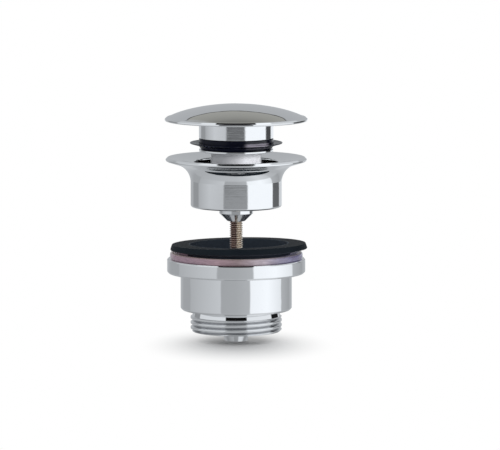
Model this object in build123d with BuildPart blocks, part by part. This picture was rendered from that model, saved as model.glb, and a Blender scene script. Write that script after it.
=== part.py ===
from build123d import *
from math import cos, radians, sin, sqrt, tan
import os

os.makedirs("parts", exist_ok=True)

# Pop up basin waste with a push-push plunger, in millimetres.
# It stands on the centre boss of its lower body, with the basin flange held up by the clamp bolt.
# The origin is the centre of the boss's lower face, and +Z is up along the waste's axis.
# Radii are half of the turned diameters, and heights are measured from the boss's lower face.

# Fits
running_fit = 0.08
seat_fit = 0.05
free_gap = 0.3

# Lower body: centre boss, bridge, threaded tail, cup and rim
boss_radius = 5.5
boss_height = 12.0
boss_chamfer = 0.5
tail_bottom = 4.4
tail_radius = 20.955
tail_length = 10.0
tail_wall = 3.0
tail_chamfer = 0.9
relief_depth = 1.3
relief_height = 1.1
bridge_lift = 1.2
bridge_height = 5.0
bridge_width = 3.2
bridge_spokes = 3
body_height = 16.9
body_chamfer = 0.8
cup_play = 1.45
cup_wall = 3.2
cup_floor = 2.6
cup_slope = 3.0
rim_overhang = 6.15
rim_height = 6.6
rim_lower_chamfer = 0.7
rim_upper_chamfer = 0.6

# Seals on the lower body
gasket_setback = 1.15
gasket_inset = 2.6
gasket_height = 2.6
gasket_round = 1.1
washer_setback = 0.2
washer_height = 3.5
washer_edge_height = 1.1
washer_draft = 0.8
washer_taper = 4.8
washer_neck_wall = 1.1
washer_neck_depth = 2.3
washer_shift = 1.2
washer_play = 0.35
washer_lean = 1.48
washer_low_side = 122.6

# Clamp bolt and its washer
bolt_radius = 3.0
bolt_length = 60.0
bolt_tip = 0.8
bolt_tip_chamfer = 0.6
bolt_head_radius = 5.0
bolt_head_height = 6.0
bolt_key_width = 5.0
bolt_key_depth = 3.0
bolt_washer_radius = 5.5
bolt_washer_height = 1.6

# Basin flange: nose, hub, strainer, spigot, flare and dished rim
nose_lip = 0.8
nose_floor = 4.0
nose_cone_height = 3.5
hub_wall = 1.95
hub_height = 12.0
spigot_lift = 6.5
spigot_radius = 20.85
spigot_wall = 1.55
spigot_edge_round = 1.0
bore_edge_round = 0.8
dish_depth = 1.75
flare_lift = 17.7
flare_radius = 8.0
flare_slope = 17.0
flange_radius = 32.3
flange_edge_round = 0.7
flange_edge_height = 1.45
flange_crest_inset = 2.1
flange_crest_round = 3.0
strainer_height = 3.8
strainer_width = 2.4
strainer_spokes = 6

# Guide cylinder and what closes its two ends
guide_radius = 11.45
guide_wall = 1.1
guide_chamfer = 0.5
base_web = 1.6
base_spigot_height = 3.8
base_groove_height = 1.3
base_groove_depth = 1.1
top_bush_height = 2.5
circlip_height = 0.7
circlip_edge = 0.6
circlip_groove_depth = 0.45
circlip_width = 1.4
circlip_gap = 6.0

# Push-push track and the ring that runs in it
track_wall = 1.65
track_depth = 2.2
track_step = 45.0
press_travel = 7.5
latch_rise = 1.6
lug_radius = 1.2
lug_gap = 0.25
index_height = 4.0

# Push rod with its collar, seal, clip, spring seat and spring
rod_radius = 3.0
rod_tail = 1.8
rod_tip_radius = 2.5
rod_tip_cover = 1.15
rod_collar_width = 2.6
rod_collar_height = 1.4
rod_groove_depth = 0.6
rod_seal_radius = 0.6
clip_width = 1.8
clip_height = 0.7
clip_slot = 3.6
seat_height = 0.9
seat_inset = 0.4
spring_wire = 0.9
spring_turns = 4.25

# Plunger sleeve with its collar, guide bush and lip seal
sleeve_radius = 17.03
sleeve_shoulder = 7.5
sleeve_web = 2.6
sleeve_wall = 1.2
land_wall = 1.6
land_height = 5.0
bush_wall = 1.0
bush_height = 3.2
collar_inset = 0.05
collar_height = 1.05
collar_spigot_height = 2.6
seal_foot = 1.77
seal_belly = 0.15
seal_belly_height = 3.0
lip_reach = 4.17
lip_root_height = 1.55
lip_rise = 1.1
lip_gap = 0.4
lip_thickness = 0.65
lip_edge_thickness = 0.4

# Mushroom cap: a wide dome that turns down over a tighter shoulder
cap_radius = 32.7
cap_lift = 0.35
cap_wall = 1.2
cap_edge_height = 0.95
cap_edge_bevel = 0.5
cap_hem_width = 2.4
dome_radius = 93.0
shoulder_start = 25.0
shoulder_radius = 31.0
cap_boss_radius = 5.4
cap_seal_radius = 0.6

# Lower body and its seals
tail_bore = tail_radius - tail_wall
body_bottom = tail_bottom + tail_length
rim_bottom = body_bottom + body_height
rim_top = rim_bottom + rim_height
bridge_bottom = tail_bottom + bridge_lift
cup_radius = spigot_radius + cup_play
body_radius = cup_radius + cup_wall
rim_radius = body_radius + rim_overhang
tapped_radius = bolt_radius + running_fit
gasket_radius = rim_radius - gasket_setback
gasket_bore = cup_radius + gasket_inset
gasket_top = rim_top + gasket_height
washer_bore = spigot_radius + washer_shift + washer_play
washer_radius = rim_radius - washer_setback
washer_foot_radius = washer_radius - washer_taper

# Clamp bolt, hub and strainer: the bolt's length sets how high the flange stands
head_bottom = bolt_tip + bolt_length
head_seat = head_bottom - bolt_washer_height
nose_bottom = head_seat - nose_floor
hub_bottom = nose_bottom + nose_cone_height
hub_top = nose_bottom + hub_height
hub_bore = bolt_washer_radius + free_gap
hub_radius = hub_bore + hub_wall
nose_bore = bolt_radius + free_gap
bore_radius = spigot_radius - spigot_wall
spigot_bottom = nose_bottom + spigot_lift
strainer_top = spigot_bottom + strainer_height
flare_corner = spigot_bottom + flare_lift
flange_under = flare_corner + (flange_radius - spigot_radius) * tan(radians(flare_slope))
flange_crest = flange_under + flange_edge_height
bore_edge = flange_crest - dish_depth

# Plunger: the lip clears the flange's bore edge by lip_gap when it is pressed right down
sleeve_bore = guide_radius + running_fit + bush_wall + seat_fit
land_radius = sleeve_bore + land_wall
seal_bore = land_radius + seat_fit
seal_waist_radius = seal_bore + seal_foot
lip_radius = sleeve_radius + lip_reach
lip_slope = lip_rise / (lip_radius - seal_waist_radius)
lip_root = bore_edge + press_travel + lip_gap - lip_slope * (bore_radius - seal_waist_radius)
lip_tip = lip_root + lip_rise
sleeve_bottom = lip_root - lip_root_height
seal_top = sleeve_bottom + land_height
web_bottom = seal_top + sleeve_shoulder
web_top = web_bottom + sleeve_web
collar_bottom = sleeve_bottom - collar_height
collar_bore = guide_radius + free_gap
bush_bottom = sleeve_bottom + collar_spigot_height
hem_bottom = web_bottom + cap_lift
hem_bore = cap_radius - cap_hem_width
cap_edge = hem_bottom + cap_edge_height
shoulder_axis = shoulder_start * (1 - shoulder_radius / dome_radius)
shoulder_centre = cap_edge - sqrt(shoulder_radius**2 - (cap_radius - shoulder_axis) ** 2)
dome_centre = shoulder_centre - (dome_radius - shoulder_radius) * sqrt(
    1 - (shoulder_start / dome_radius) ** 2
)
cap_top = dome_centre + dome_radius

# Guide cylinder: the sleeve's web stops free_gap over its top when it is pressed right down
guide_bore = guide_radius - guide_wall
guide_top = web_bottom - press_travel - free_gap
base_bore = hub_radius + running_fit
base_web_top = hub_top + base_web
base_spigot_top = hub_top + base_spigot_height
circlip_outer = guide_bore + circlip_groove_depth
circlip_top = guide_top - circlip_edge
circlip_bottom = circlip_top - circlip_height
top_bush_bottom = circlip_bottom - top_bush_height

# Push rod, index ring and track
track_groove_radius = guide_bore - track_wall
track_bore = track_groove_radius - track_depth
rod_bore = rod_radius + running_fit
collar_top = top_bush_bottom - free_gap
rod_collar_bottom = collar_top - rod_collar_height
index_top = rod_collar_bottom - seat_fit
index_bottom = index_top - index_height
index_radius = track_bore - free_gap
lug_height = (index_bottom + index_top) / 2
lug_reach = track_groove_radius - lug_gap
clip_top = index_bottom - seat_fit
clip_bottom = clip_top - clip_height
seat_bottom = clip_bottom - seat_height
rod_bottom = seat_bottom - rod_tail
rod_top = cap_top - cap_wall - rod_tip_cover - free_gap
spring_radius = (rod_radius + track_bore) / 2
coil_height = seat_bottom - base_web_top - spring_wire


def turned(*corners):
    """A closed half section through corners given as (radius, height), for turning about Z."""
    with BuildSketch(Plane.XZ) as half:
        with BuildLine():
            Polyline(*corners, close=True)
        make_face()
    return half.sketch


def square_ring(inner, outer, bottom, top):
    """The half section of a ring with four square corners."""
    return turned((inner, bottom), (outer, bottom), (outer, top), (inner, top))


def dome_height(radius, depth=0.0):
    """Height of the cap's dome, or of the sphere that lies depth under it, at a radius."""
    return dome_centre + sqrt((dome_radius - depth) ** 2 - radius**2)


def shoulder_height(radius, depth=0.0):
    """Height of the cap's shoulder, or of the arc that lies depth under it, at a radius."""
    return shoulder_centre + sqrt((shoulder_radius - depth) ** 2 - (radius - shoulder_axis) ** 2)


def cap_arcs(edge_radius, depth=0.0):
    """The cap's outline from its middle to a radius, or the line that lies depth under it."""
    change = shoulder_start * (1 - depth / dome_radius)
    halfway = (change + edge_radius) / 2
    ThreePointArc(
        (0, dome_height(0, depth)),
        (change / 2, dome_height(change / 2, depth)),
        (change, dome_height(change, depth)),
    )
    ThreePointArc(
        (change, dome_height(change, depth)),
        (halfway, shoulder_height(halfway, depth)),
        (edge_radius, shoulder_height(edge_radius, depth)),
    )


def facing_out(angle, height, distance=0.0):
    """A plane that faces away from the axis at an angle, at a height and a distance out."""
    out = Vector(cos(radians(angle)), sin(radians(angle)), 0)
    return Plane(origin=out * distance + Vector(0, 0, height), x_dir=(0, 0, 1), z_dir=out)


# Lower body, one casting: threaded tail, cup, rim, and a bridge that carries the tapped boss.
with BuildPart() as waste_body:
    revolve(
        turned(
            (tail_bore, tail_bottom),
            (tail_radius - tail_chamfer, tail_bottom),
            (tail_radius, tail_bottom + tail_chamfer),
            (tail_radius, body_bottom - relief_height - relief_depth),
            (tail_radius - relief_depth, body_bottom - relief_height),
            (tail_radius - relief_depth, body_bottom),
            (body_radius - body_chamfer, body_bottom),
            (body_radius, body_bottom + body_chamfer),
            (body_radius, rim_bottom),
            (rim_radius - rim_lower_chamfer, rim_bottom),
            (rim_radius, rim_bottom + rim_lower_chamfer),
            (rim_radius, rim_top - rim_upper_chamfer),
            (rim_radius - rim_upper_chamfer, rim_top),
            (cup_radius, rim_top),
            (cup_radius, body_bottom + cup_floor + cup_slope),
            (tail_bore, body_bottom + cup_floor),
        ),
        axis=Axis.Z,
    )
    with BuildSketch(Plane.XY.offset(bridge_bottom)):
        with PolarLocations(0, bridge_spokes, start_angle=90):
            Rectangle(tail_bore + tail_wall / 2, bridge_width, align=(Align.MIN, Align.CENTER))
    extrude(amount=bridge_height)
    with BuildSketch():
        Circle(boss_radius)
    extrude(amount=boss_height)
    boss_ends = waste_body.edges().filter_by(GeomType.CIRCLE)
    chamfer(
        boss_ends.filter_by(lambda edge: abs(edge.radius - boss_radius) < seat_fit).sort_by(Axis.Z)[0],
        boss_chamfer,
    )
    with BuildSketch():
        Circle(tapped_radius)
    extrude(amount=boss_height, mode=Mode.SUBTRACT)

# Clear ring on the rim, under the black washer.
with BuildPart() as clear_gasket:
    revolve(square_ring(gasket_bore, gasket_radius, rim_top, gasket_top), axis=Axis.Z)
    fillet(clear_gasket.edges().filter_by(GeomType.CIRCLE), gasket_round)

# Black washer with a tapered underside and a neck in the ring's bore. It lies loose: a little off
# centre, and leaning so that it touches the ring on its low side.
washer_lift = washer_foot_radius * sin(radians(washer_lean))
washer_across = Vector(-sin(radians(washer_low_side)), cos(radians(washer_low_side)), 0)
washer_axis = Vector(0, 0, 1).rotate(Axis((0, 0, 0), washer_across), washer_lean)
washer_plane = Plane(
    origin=(washer_shift, 0, gasket_top + washer_lift),
    x_dir=washer_across,
    z_dir=washer_across.cross(washer_axis),
)
with BuildPart() as rubber_washer:
    with BuildSketch(washer_plane):
        with BuildLine():
            Polyline(
                (washer_bore, -washer_neck_depth),
                (washer_bore + washer_neck_wall, -washer_neck_depth),
                (washer_bore + washer_neck_wall, 0),
                (washer_foot_radius, 0),
                (washer_radius, washer_edge_height),
                (washer_radius - washer_draft, washer_height),
                (washer_bore, washer_height),
                close=True,
            )
        make_face()
    revolve(axis=Axis(washer_plane.origin, washer_plane.y_dir))

# Clamp bolt: socket head in the flange's hub, shank down through the cup into the boss.
with BuildPart() as clamp_bolt:
    revolve(
        turned(
            (0, bolt_tip),
            (bolt_radius - bolt_tip_chamfer, bolt_tip),
            (bolt_radius, bolt_tip + bolt_tip_chamfer),
            (bolt_radius, head_bottom),
            (bolt_head_radius, head_bottom),
            (bolt_head_radius, head_bottom + bolt_head_height - bolt_tip_chamfer),
            (bolt_head_radius - bolt_tip_chamfer, head_bottom + bolt_head_height),
            (0, head_bottom + bolt_head_height),
        ),
        axis=Axis.Z,
    )
    with BuildSketch(Plane.XY.offset(head_bottom + bolt_head_height - bolt_key_depth)):
        RegularPolygon(bolt_key_width / 2, 6, major_radius=False)
    extrude(amount=bolt_key_depth, mode=Mode.SUBTRACT)

with BuildPart() as bolt_washer:
    revolve(
        square_ring(nose_bore, bolt_washer_radius, head_seat, head_bottom), axis=Axis.Z
    )

# Basin flange: spigot that flares out to a dished rim, and a strainer that carries the hub.
with BuildPart() as basin_flange:
    with BuildSketch(Plane.XZ):
        with BuildLine():
            shell = FilletPolyline(
                (bore_radius, spigot_bottom),
                (spigot_radius, spigot_bottom),
                (spigot_radius, flare_corner),
                (flange_radius, flange_under),
                (flange_radius, flange_crest),
                (flange_radius - flange_crest_inset, flange_crest),
                (bore_radius, bore_edge),
                (bore_radius, strainer_top),
                radius=[
                    spigot_edge_round,
                    flare_radius,
                    flange_edge_round,
                    flange_edge_round,
                    flange_crest_round,
                    bore_edge_round,
                ],
            )
            Line(shell @ 1, shell @ 0)
        make_face()
    revolve(axis=Axis.Z)
    spoke_length = (bore_radius + spigot_radius) / 2
    with BuildSketch(Plane.XY.offset(spigot_bottom)):
        with PolarLocations(0, strainer_spokes):
            Rectangle(spoke_length, strainer_width, align=(Align.MIN, Align.CENTER))
    extrude(amount=strainer_height)
    revolve(
        turned(
            (0, nose_bottom),
            (nose_bore + nose_lip, nose_bottom),
            (hub_radius, hub_bottom),
            (hub_radius, hub_top),
            (0, hub_top),
        ),
        axis=Axis.Z,
    )
    with BuildSketch(Plane.XY.offset(nose_bottom)):
        Circle(nose_bore)
    extrude(amount=hub_height, mode=Mode.SUBTRACT)
    with BuildSketch(Plane.XY.offset(head_seat)):
        Circle(hub_bore)
    extrude(amount=hub_top - head_seat, mode=Mode.SUBTRACT)

# Base that fits over the hub, stands on the strainer and carries the guide cylinder.
groove_bottom = strainer_top + (hub_top - strainer_top - base_groove_height) / 2
groove_top = groove_bottom + base_groove_height
with BuildPart() as cartridge_base:
    revolve(
        turned(
            (base_bore, strainer_top),
            (guide_radius, strainer_top),
            (guide_radius, hub_top),
            (guide_bore - seat_fit, hub_top),
            (guide_bore - seat_fit, base_spigot_top),
            (track_bore, base_spigot_top),
            (track_bore, base_web_top),
            (0, base_web_top),
            (0, hub_top),
            (base_bore, hub_top),
            (base_bore, groove_top),
            (base_bore + base_groove_depth, groove_top),
            (base_bore + base_groove_depth, groove_bottom),
            (base_bore, groove_bottom),
        ),
        axis=Axis.Z,
    )

hub_cord_radius = (running_fit + base_groove_depth) / 2 - seat_fit
with BuildPart() as hub_o_ring:
    with BuildSketch(Plane.XZ):
        with Locations((hub_radius + seat_fit + hub_cord_radius, (groove_bottom + groove_top) / 2)):
            Circle(hub_cord_radius)
    revolve(axis=Axis.Z)

# Guide cylinder, open at both ends, with an inner groove near the top for the circlip.
with BuildPart() as guide_tube:
    revolve(
        turned(
            (guide_bore, hub_top),
            (guide_radius, hub_top),
            (guide_radius, guide_top - guide_chamfer),
            (guide_radius - guide_chamfer, guide_top),
            (guide_bore, guide_top),
            (guide_bore, circlip_top),
            (circlip_outer, circlip_top),
            (circlip_outer, circlip_bottom),
            (guide_bore, circlip_bottom),
        ),
        axis=Axis.Z,
    )

# Track sleeve inside the guide cylinder. Two equal cycles of four legs run round its bore:
# down to the bottom, up to the latch, down again and back up to the open position.
# A straight entry over each open position lets a lug in when the ring is fitted.
open_height = lug_height
pressed_height = lug_height - press_travel
latch_height = pressed_height + latch_rise
track_corners = (open_height, pressed_height, latch_height, pressed_height)
track_cycles = round(360 / (track_step * len(track_corners)))
groove_width = 2 * (lug_radius + lug_gap)
cutter_bore = track_bore - track_depth / 2
cutter_middle = (cutter_bore + track_groove_radius) / 2


def track_leg(rise, rises_backwards):
    """A cutter for one leg: a rectangle swept up the helix that climbs rise in one track step."""
    with BuildPart() as leg:
        with BuildLine() as path:
            Helix(
                pitch=rise * 360 / track_step,
                height=rise,
                radius=cutter_middle,
                lefthand=rises_backwards,
            )
        with BuildSketch(Plane(origin=path.line @ 0, x_dir=(1, 0, 0), z_dir=path.line % 0)):
            Rectangle(track_groove_radius - cutter_bore, groove_width)
        sweep(is_frenet=True)
    return leg.part


with BuildPart() as track_sleeve:
    revolve(
        square_ring(track_bore, guide_bore - running_fit, base_spigot_top, top_bush_bottom),
        axis=Axis.Z,
    )
    for step in range(track_cycles * len(track_corners)):
        start = track_corners[step % len(track_corners)]
        end = track_corners[(step + 1) % len(track_corners)]
        goes_down = end < start
        low_angle = track_step * (step + goes_down)
        with Locations(Location((0, 0, min(start, end)), (0, 0, low_angle))):
            add(track_leg(abs(end - start), goes_down), mode=Mode.SUBTRACT)
        with BuildSketch(facing_out(track_step * step, start)):
            Circle(groove_width / 2)
        extrude(amount=track_groove_radius, mode=Mode.SUBTRACT)
    for cycle in range(track_cycles):
        entry = facing_out(cycle * 360 / track_cycles, open_height)
        with BuildSketch(entry):
            Rectangle(
                top_bush_bottom - open_height, groove_width, align=(Align.MIN, Align.CENTER)
            )
        extrude(amount=track_groove_radius, mode=Mode.SUBTRACT)

# Bush that closes the guide cylinder and carries the push rod, with its seal and circlip.
rod_groove_radius = rod_bore + 2 * rod_seal_radius - seat_fit
rod_seal_height = (top_bush_bottom + circlip_bottom) / 2
with BuildPart() as top_bush:
    revolve(
        turned(
            (rod_bore, top_bush_bottom),
            (guide_bore - seat_fit, top_bush_bottom),
            (guide_bore - seat_fit, circlip_bottom),
            (rod_bore, circlip_bottom),
            (rod_bore, rod_seal_height + rod_seal_radius + seat_fit),
            (rod_groove_radius, rod_seal_height + rod_seal_radius + seat_fit),
            (rod_groove_radius, rod_seal_height - rod_seal_radius - seat_fit),
            (rod_bore, rod_seal_height - rod_seal_radius - seat_fit),
        ),
        axis=Axis.Z,
    )

with BuildPart() as rod_o_ring:
    with BuildSketch(Plane.XZ):
        with Locations((rod_groove_radius - seat_fit - rod_seal_radius, rod_seal_height)):
            Circle(rod_seal_radius - seat_fit)
    revolve(axis=Axis.Z)

with BuildPart() as bush_circlip:
    with BuildSketch(Plane.XY.offset(circlip_bottom)):
        Circle(circlip_outer - seat_fit)
        Circle(circlip_outer - seat_fit - circlip_width, mode=Mode.SUBTRACT)
        Rectangle(
            circlip_outer,
            circlip_gap,
            align=(Align.MIN, Align.CENTER),
            mode=Mode.SUBTRACT,
        )
    extrude(amount=circlip_height)

# Ring with two lugs that run in the track. It turns on the rod as the plunger goes down.
with BuildPart() as index_ring:
    revolve(square_ring(rod_bore, index_radius, index_bottom, index_top), axis=Axis.Z)
    for cycle in range(track_cycles):
        with BuildSketch(facing_out(cycle * 360 / track_cycles, lug_height, rod_bore + lug_gap)):
            Circle(lug_radius)
        extrude(amount=lug_reach - rod_bore - lug_gap)

# Push rod: threaded tip in the cap, shoulder under the sleeve, collar over the ring, clip groove.
rod_collar_radius = rod_radius + rod_collar_width
with BuildPart() as push_rod:
    revolve(
        turned(
            (0, rod_bottom),
            (rod_radius - rod_groove_depth, rod_bottom),
            (rod_radius, rod_bottom + rod_groove_depth),
            (rod_radius, clip_bottom),
            (rod_radius - rod_groove_depth, clip_bottom),
            (rod_radius - rod_groove_depth, clip_top),
            (rod_radius, clip_top),
            (rod_radius, rod_collar_bottom),
            (rod_collar_radius, rod_collar_bottom),
            (rod_collar_radius, collar_top),
            (rod_radius, collar_top),
            (rod_radius, web_bottom),
            (rod_tip_radius, web_bottom),
            (rod_tip_radius, rod_top),
            (0, rod_top),
        ),
        axis=Axis.Z,
    )

clip_radius = rod_radius + clip_width
with BuildPart() as rod_clip:
    with BuildSketch(Plane.XY.offset(clip_bottom)):
        Circle(clip_radius)
        Circle(rod_radius - rod_groove_depth + seat_fit, mode=Mode.SUBTRACT)
        Rectangle(clip_radius, clip_slot, align=(Align.MIN, Align.CENTER), mode=Mode.SUBTRACT)
    extrude(amount=clip_height)

with BuildPart() as spring_seat:
    revolve(square_ring(rod_bore, index_radius - seat_inset, seat_bottom, clip_bottom), axis=Axis.Z)

# Return spring between the base's web and the spring seat.
with BuildPart() as return_spring:
    with BuildLine(Plane.XY.offset(base_web_top + spring_wire / 2)) as coil:
        Helix(pitch=coil_height / spring_turns, height=coil_height, radius=spring_radius)
    with BuildSketch(Plane(origin=coil.line @ 0, z_dir=coil.line % 0)):
        Circle(spring_wire / 2)
    sweep(is_frenet=True)

# Plunger sleeve: a cup turned upside down over the guide cylinder, with a land for the lip seal.
sleeve_rim = dome_height(sleeve_radius, cap_wall) - seat_fit
tip_bore = rod_tip_radius + running_fit
with BuildPart() as plunger_sleeve:
    revolve(
        turned(
            (sleeve_bore, sleeve_bottom),
            (land_radius, sleeve_bottom),
            (land_radius, seal_top),
            (sleeve_radius, seal_top),
            (sleeve_radius, sleeve_rim),
            (sleeve_radius - sleeve_wall, sleeve_rim),
            (sleeve_radius - sleeve_wall, web_top),
            (tip_bore, web_top),
            (tip_bore, web_bottom),
            (sleeve_bore, web_bottom),
        ),
        axis=Axis.Z,
    )

# Collar that holds the seal on its land, and the bush that guides the sleeve on the cylinder.
with BuildPart() as seal_collar:
    revolve(
        turned(
            (collar_bore, collar_bottom),
            (sleeve_radius - collar_inset, collar_bottom),
            (sleeve_radius - collar_inset, sleeve_bottom),
            (sleeve_bore - seat_fit, sleeve_bottom),
            (sleeve_bore - seat_fit, bush_bottom),
            (collar_bore, bush_bottom),
        ),
        axis=Axis.Z,
    )

with BuildPart() as guide_bush:
    revolve(
        square_ring(
            guide_radius + running_fit, sleeve_bore - seat_fit, bush_bottom, bush_bottom + bush_height
        ),
        axis=Axis.Z,
    )

# Lip seal: a bulging ring that narrows to its foot, with one thin lip that turns up.
with BuildPart() as lip_seal:
    with BuildSketch(Plane.XZ):
        with BuildLine():
            Line((seal_bore, sleeve_bottom), (seal_waist_radius, sleeve_bottom))
            Spline(
                (seal_waist_radius, sleeve_bottom),
                (sleeve_radius + seal_belly, sleeve_bottom + seal_belly_height),
                (sleeve_radius - seat_fit, seal_top),
            )
            Line((sleeve_radius - seat_fit, seal_top), (seal_bore, seal_top))
            Line((seal_bore, seal_top), (seal_bore, sleeve_bottom))
        make_face()
        with BuildLine():
            Polyline(
                (seal_bore, lip_root),
                (seal_waist_radius, lip_root),
                (lip_radius, lip_tip),
                (lip_radius, lip_tip + lip_edge_thickness),
                (seal_waist_radius, lip_root + lip_thickness),
                (seal_bore, lip_root + lip_thickness),
                close=True,
            )
        make_face()
    revolve(axis=Axis.Z)

with BuildPart() as cap_o_ring:
    with BuildSketch(Plane.XZ):
        with Locations((cap_boss_radius + seat_fit + cap_seal_radius, web_top + cap_seal_radius)):
            Circle(cap_seal_radius)
    revolve(axis=Axis.Z)

# Mushroom cap: a pressed dome with a hemmed edge, and a boss that the rod screws into.
with BuildPart() as mushroom_cap:
    with BuildSketch(Plane.XZ):
        with BuildLine():
            cap_arcs(cap_radius)
            Polyline(
                (cap_radius, cap_edge),
                (cap_radius, hem_bottom + cap_edge_bevel),
                (cap_radius - cap_edge_bevel, hem_bottom),
                (hem_bore, hem_bottom),
                (hem_bore, shoulder_height(hem_bore, cap_wall)),
            )
            cap_arcs(hem_bore, cap_wall)
            Line((0, cap_top - cap_wall), (0, cap_top))
        make_face()
    revolve(axis=Axis.Z)
    revolve(
        turned(
            (tip_bore, web_top),
            (cap_boss_radius, web_top),
            (cap_boss_radius, cap_top - cap_wall),
            (0, cap_top - cap_wall),
            (0, rod_top + free_gap),
            (tip_bore, rod_top + free_gap),
        ),
        axis=Axis.Z,
    )

pieces = {
    "waste_body": waste_body,
    "clear_gasket": clear_gasket,
    "rubber_washer": rubber_washer,
    "clamp_bolt": clamp_bolt,
    "bolt_washer": bolt_washer,
    "basin_flange": basin_flange,
    "cartridge_base": cartridge_base,
    "hub_o_ring": hub_o_ring,
    "guide_tube": guide_tube,
    "track_sleeve": track_sleeve,
    "top_bush": top_bush,
    "rod_o_ring": rod_o_ring,
    "bush_circlip": bush_circlip,
    "index_ring": index_ring,
    "push_rod": push_rod,
    "rod_clip": rod_clip,
    "spring_seat": spring_seat,
    "return_spring": return_spring,
    "plunger_sleeve": plunger_sleeve,
    "seal_collar": seal_collar,
    "guide_bush": guide_bush,
    "lip_seal": lip_seal,
    "cap_o_ring": cap_o_ring,
    "mushroom_cap": mushroom_cap,
}
for name, piece in pieces.items():
    piece.part.label = name
    export_step(piece.part, f"parts/{name}.step")
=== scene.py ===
import math

import bmesh
import bpy
import numpy as np
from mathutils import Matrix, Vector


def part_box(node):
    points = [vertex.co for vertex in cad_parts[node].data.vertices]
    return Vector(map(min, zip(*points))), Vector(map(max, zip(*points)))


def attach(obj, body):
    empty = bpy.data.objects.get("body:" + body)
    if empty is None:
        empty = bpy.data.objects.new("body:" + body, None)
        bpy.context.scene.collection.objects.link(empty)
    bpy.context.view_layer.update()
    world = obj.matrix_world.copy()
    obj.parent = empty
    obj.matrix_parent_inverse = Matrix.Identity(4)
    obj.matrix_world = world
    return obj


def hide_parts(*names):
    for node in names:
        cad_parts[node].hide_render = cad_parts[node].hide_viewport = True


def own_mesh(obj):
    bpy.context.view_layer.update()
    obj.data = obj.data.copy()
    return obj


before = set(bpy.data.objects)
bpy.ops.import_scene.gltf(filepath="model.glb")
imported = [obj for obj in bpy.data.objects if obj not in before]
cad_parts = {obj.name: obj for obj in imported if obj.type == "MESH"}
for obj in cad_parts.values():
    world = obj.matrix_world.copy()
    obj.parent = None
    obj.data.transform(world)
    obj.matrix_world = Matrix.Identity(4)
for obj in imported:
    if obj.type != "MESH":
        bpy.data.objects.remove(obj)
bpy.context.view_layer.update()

# Sizes are in millimetres, as on the maker's drawing, and become metres when a mesh is made.
MM = 0.001


def low(node):
    """Lowest corner of a piece of the frame, in millimetres."""
    return np.array(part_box(node)[0]) / MM


def high(node):
    """Highest corner of a piece of the frame, in millimetres."""
    return np.array(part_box(node)[1]) / MM


# Sizes read from the frame
rim_radius = high("waste_body")[0]
rim_top = high("waste_body")[2]
gasket_radius = high("clear_gasket")[0]
gasket_bottom = low("clear_gasket")[2]
gasket_top = high("clear_gasket")[2]
bolt_tip = low("clamp_bolt")[2]
bolt_top = high("clamp_bolt")[2]
bolt_head_radius = high("clamp_bolt")[0]
bolt_washer_bottom = low("bolt_washer")[2]
head_bottom = high("bolt_washer")[2]
nose_bottom = low("basin_flange")[2]
flange_crest = high("basin_flange")[2]
flange_radius = high("basin_flange")[0]
guide_radius = high("guide_tube")[0]
guide_bottom = low("guide_tube")[2]
guide_top = high("guide_tube")[2]
spring_bottom = low("return_spring")[2]
spring_top = high("return_spring")[2]
spring_outer = high("return_spring")[0]
sleeve_radius = high("plunger_sleeve")[0]
sleeve_bottom = low("plunger_sleeve")[2]
sleeve_top = high("plunger_sleeve")[2]
bush_radius = high("guide_bush")[0]
collar_radius = high("seal_collar")[0]
collar_bottom = low("seal_collar")[2]
collar_top = high("seal_collar")[2]
lip_radius = high("lip_seal")[0]
seal_top = high("lip_seal")[2]
cap_radius = high("mushroom_cap")[0]
cap_bottom = low("mushroom_cap")[2]
cap_top = high("mushroom_cap")[2]

# Lower body
boss_radius = 5.5
boss_height = 12.0
tapped_radius = 3.08
tail_bottom = 4.4
tail_radius = 20.955
tail_wall = 3.0
tail_chamfer = 0.9
tail_thread_pitch = 2.309
tail_thread_depth = 1.35
tail_thread_phase = 0.31
thread_run_out = 0.3
relief_depth = 1.2
relief_height = 0.8
relief_cone = 0.45
relief_cone_height = 2.1
body_bottom = 14.4
thread_end = body_bottom - relief_height - relief_cone_height - thread_run_out
body_radius = 25.5
body_chamfer = 0.8
cup_radius = 22.3
cup_floor = 2.6
cup_slope = 3.0
rim_bottom = 31.3
rim_lower_chamfer = 0.7
rim_upper_chamfer = 0.5
bridge_middle = 8.1
bridge_height = 5.0
bridge_width = 3.2
bridge_spokes = 3
spoke_root = 1.0

# Seals on the lower body
gasket_bore = 24.9
gasket_play = 0.1
gasket_sink = 0.04
gasket_bead = 0.32
gasket_bead_width = 1.7
gasket_bead_slope = 0.6
washer_bore = 22.4
washer_neck_wall = 1.1
washer_neck_depth = 2.3
washer_height = 3.5
washer_edge_height = 1.1
washer_radius = 31.45
washer_draft = 0.8
washer_taper = 4.8
washer_shift = 1.2
washer_lean = math.radians(1.48)
washer_low_side = math.radians(122.6)

# Clamp bolt
bolt_radius = 3.0
bolt_thread_pitch = 1.0
bolt_thread_depth = 0.62
bolt_chamfer = 0.6
bolt_key_radius = 2.5
bolt_key_depth = 3.0
key_mouth_radius = bolt_key_radius * 1.16
key_mouth_depth = 0.4
key_corner_radius = bolt_key_radius * 1.1
key_drill_depth = 0.5

# Basin flange, upwards from the bottom of its spigot
spigot_bottom = nose_bottom + 6.5
spigot_radius = 20.85
bore_radius = 19.3
spigot_round = 1.0
bore_edge = spigot_bottom + 20.9
flare_corner = spigot_bottom + 17.7
flare_radius = 8.6
flare_slope = math.radians(17)
flange_under = flare_corner + (flange_radius - spigot_radius) * math.tan(flare_slope)
crease_height = spigot_bottom + 12.1
crease_turn = math.radians(11)
flange_edge_round = 0.7
flange_break = 0.8
crest_inset = 2.1
crest_round = 3.0
strainer_height = 3.8
strainer_width = 2.4
strainer_spokes = 6
strainer_sink = 0.7
nose_bore = 3.3
nose_tip_radius = 4.1
nose_cone_height = 3.5
hub_radius = 7.75
hub_bore = 5.8
hub_height = 12.0

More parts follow.
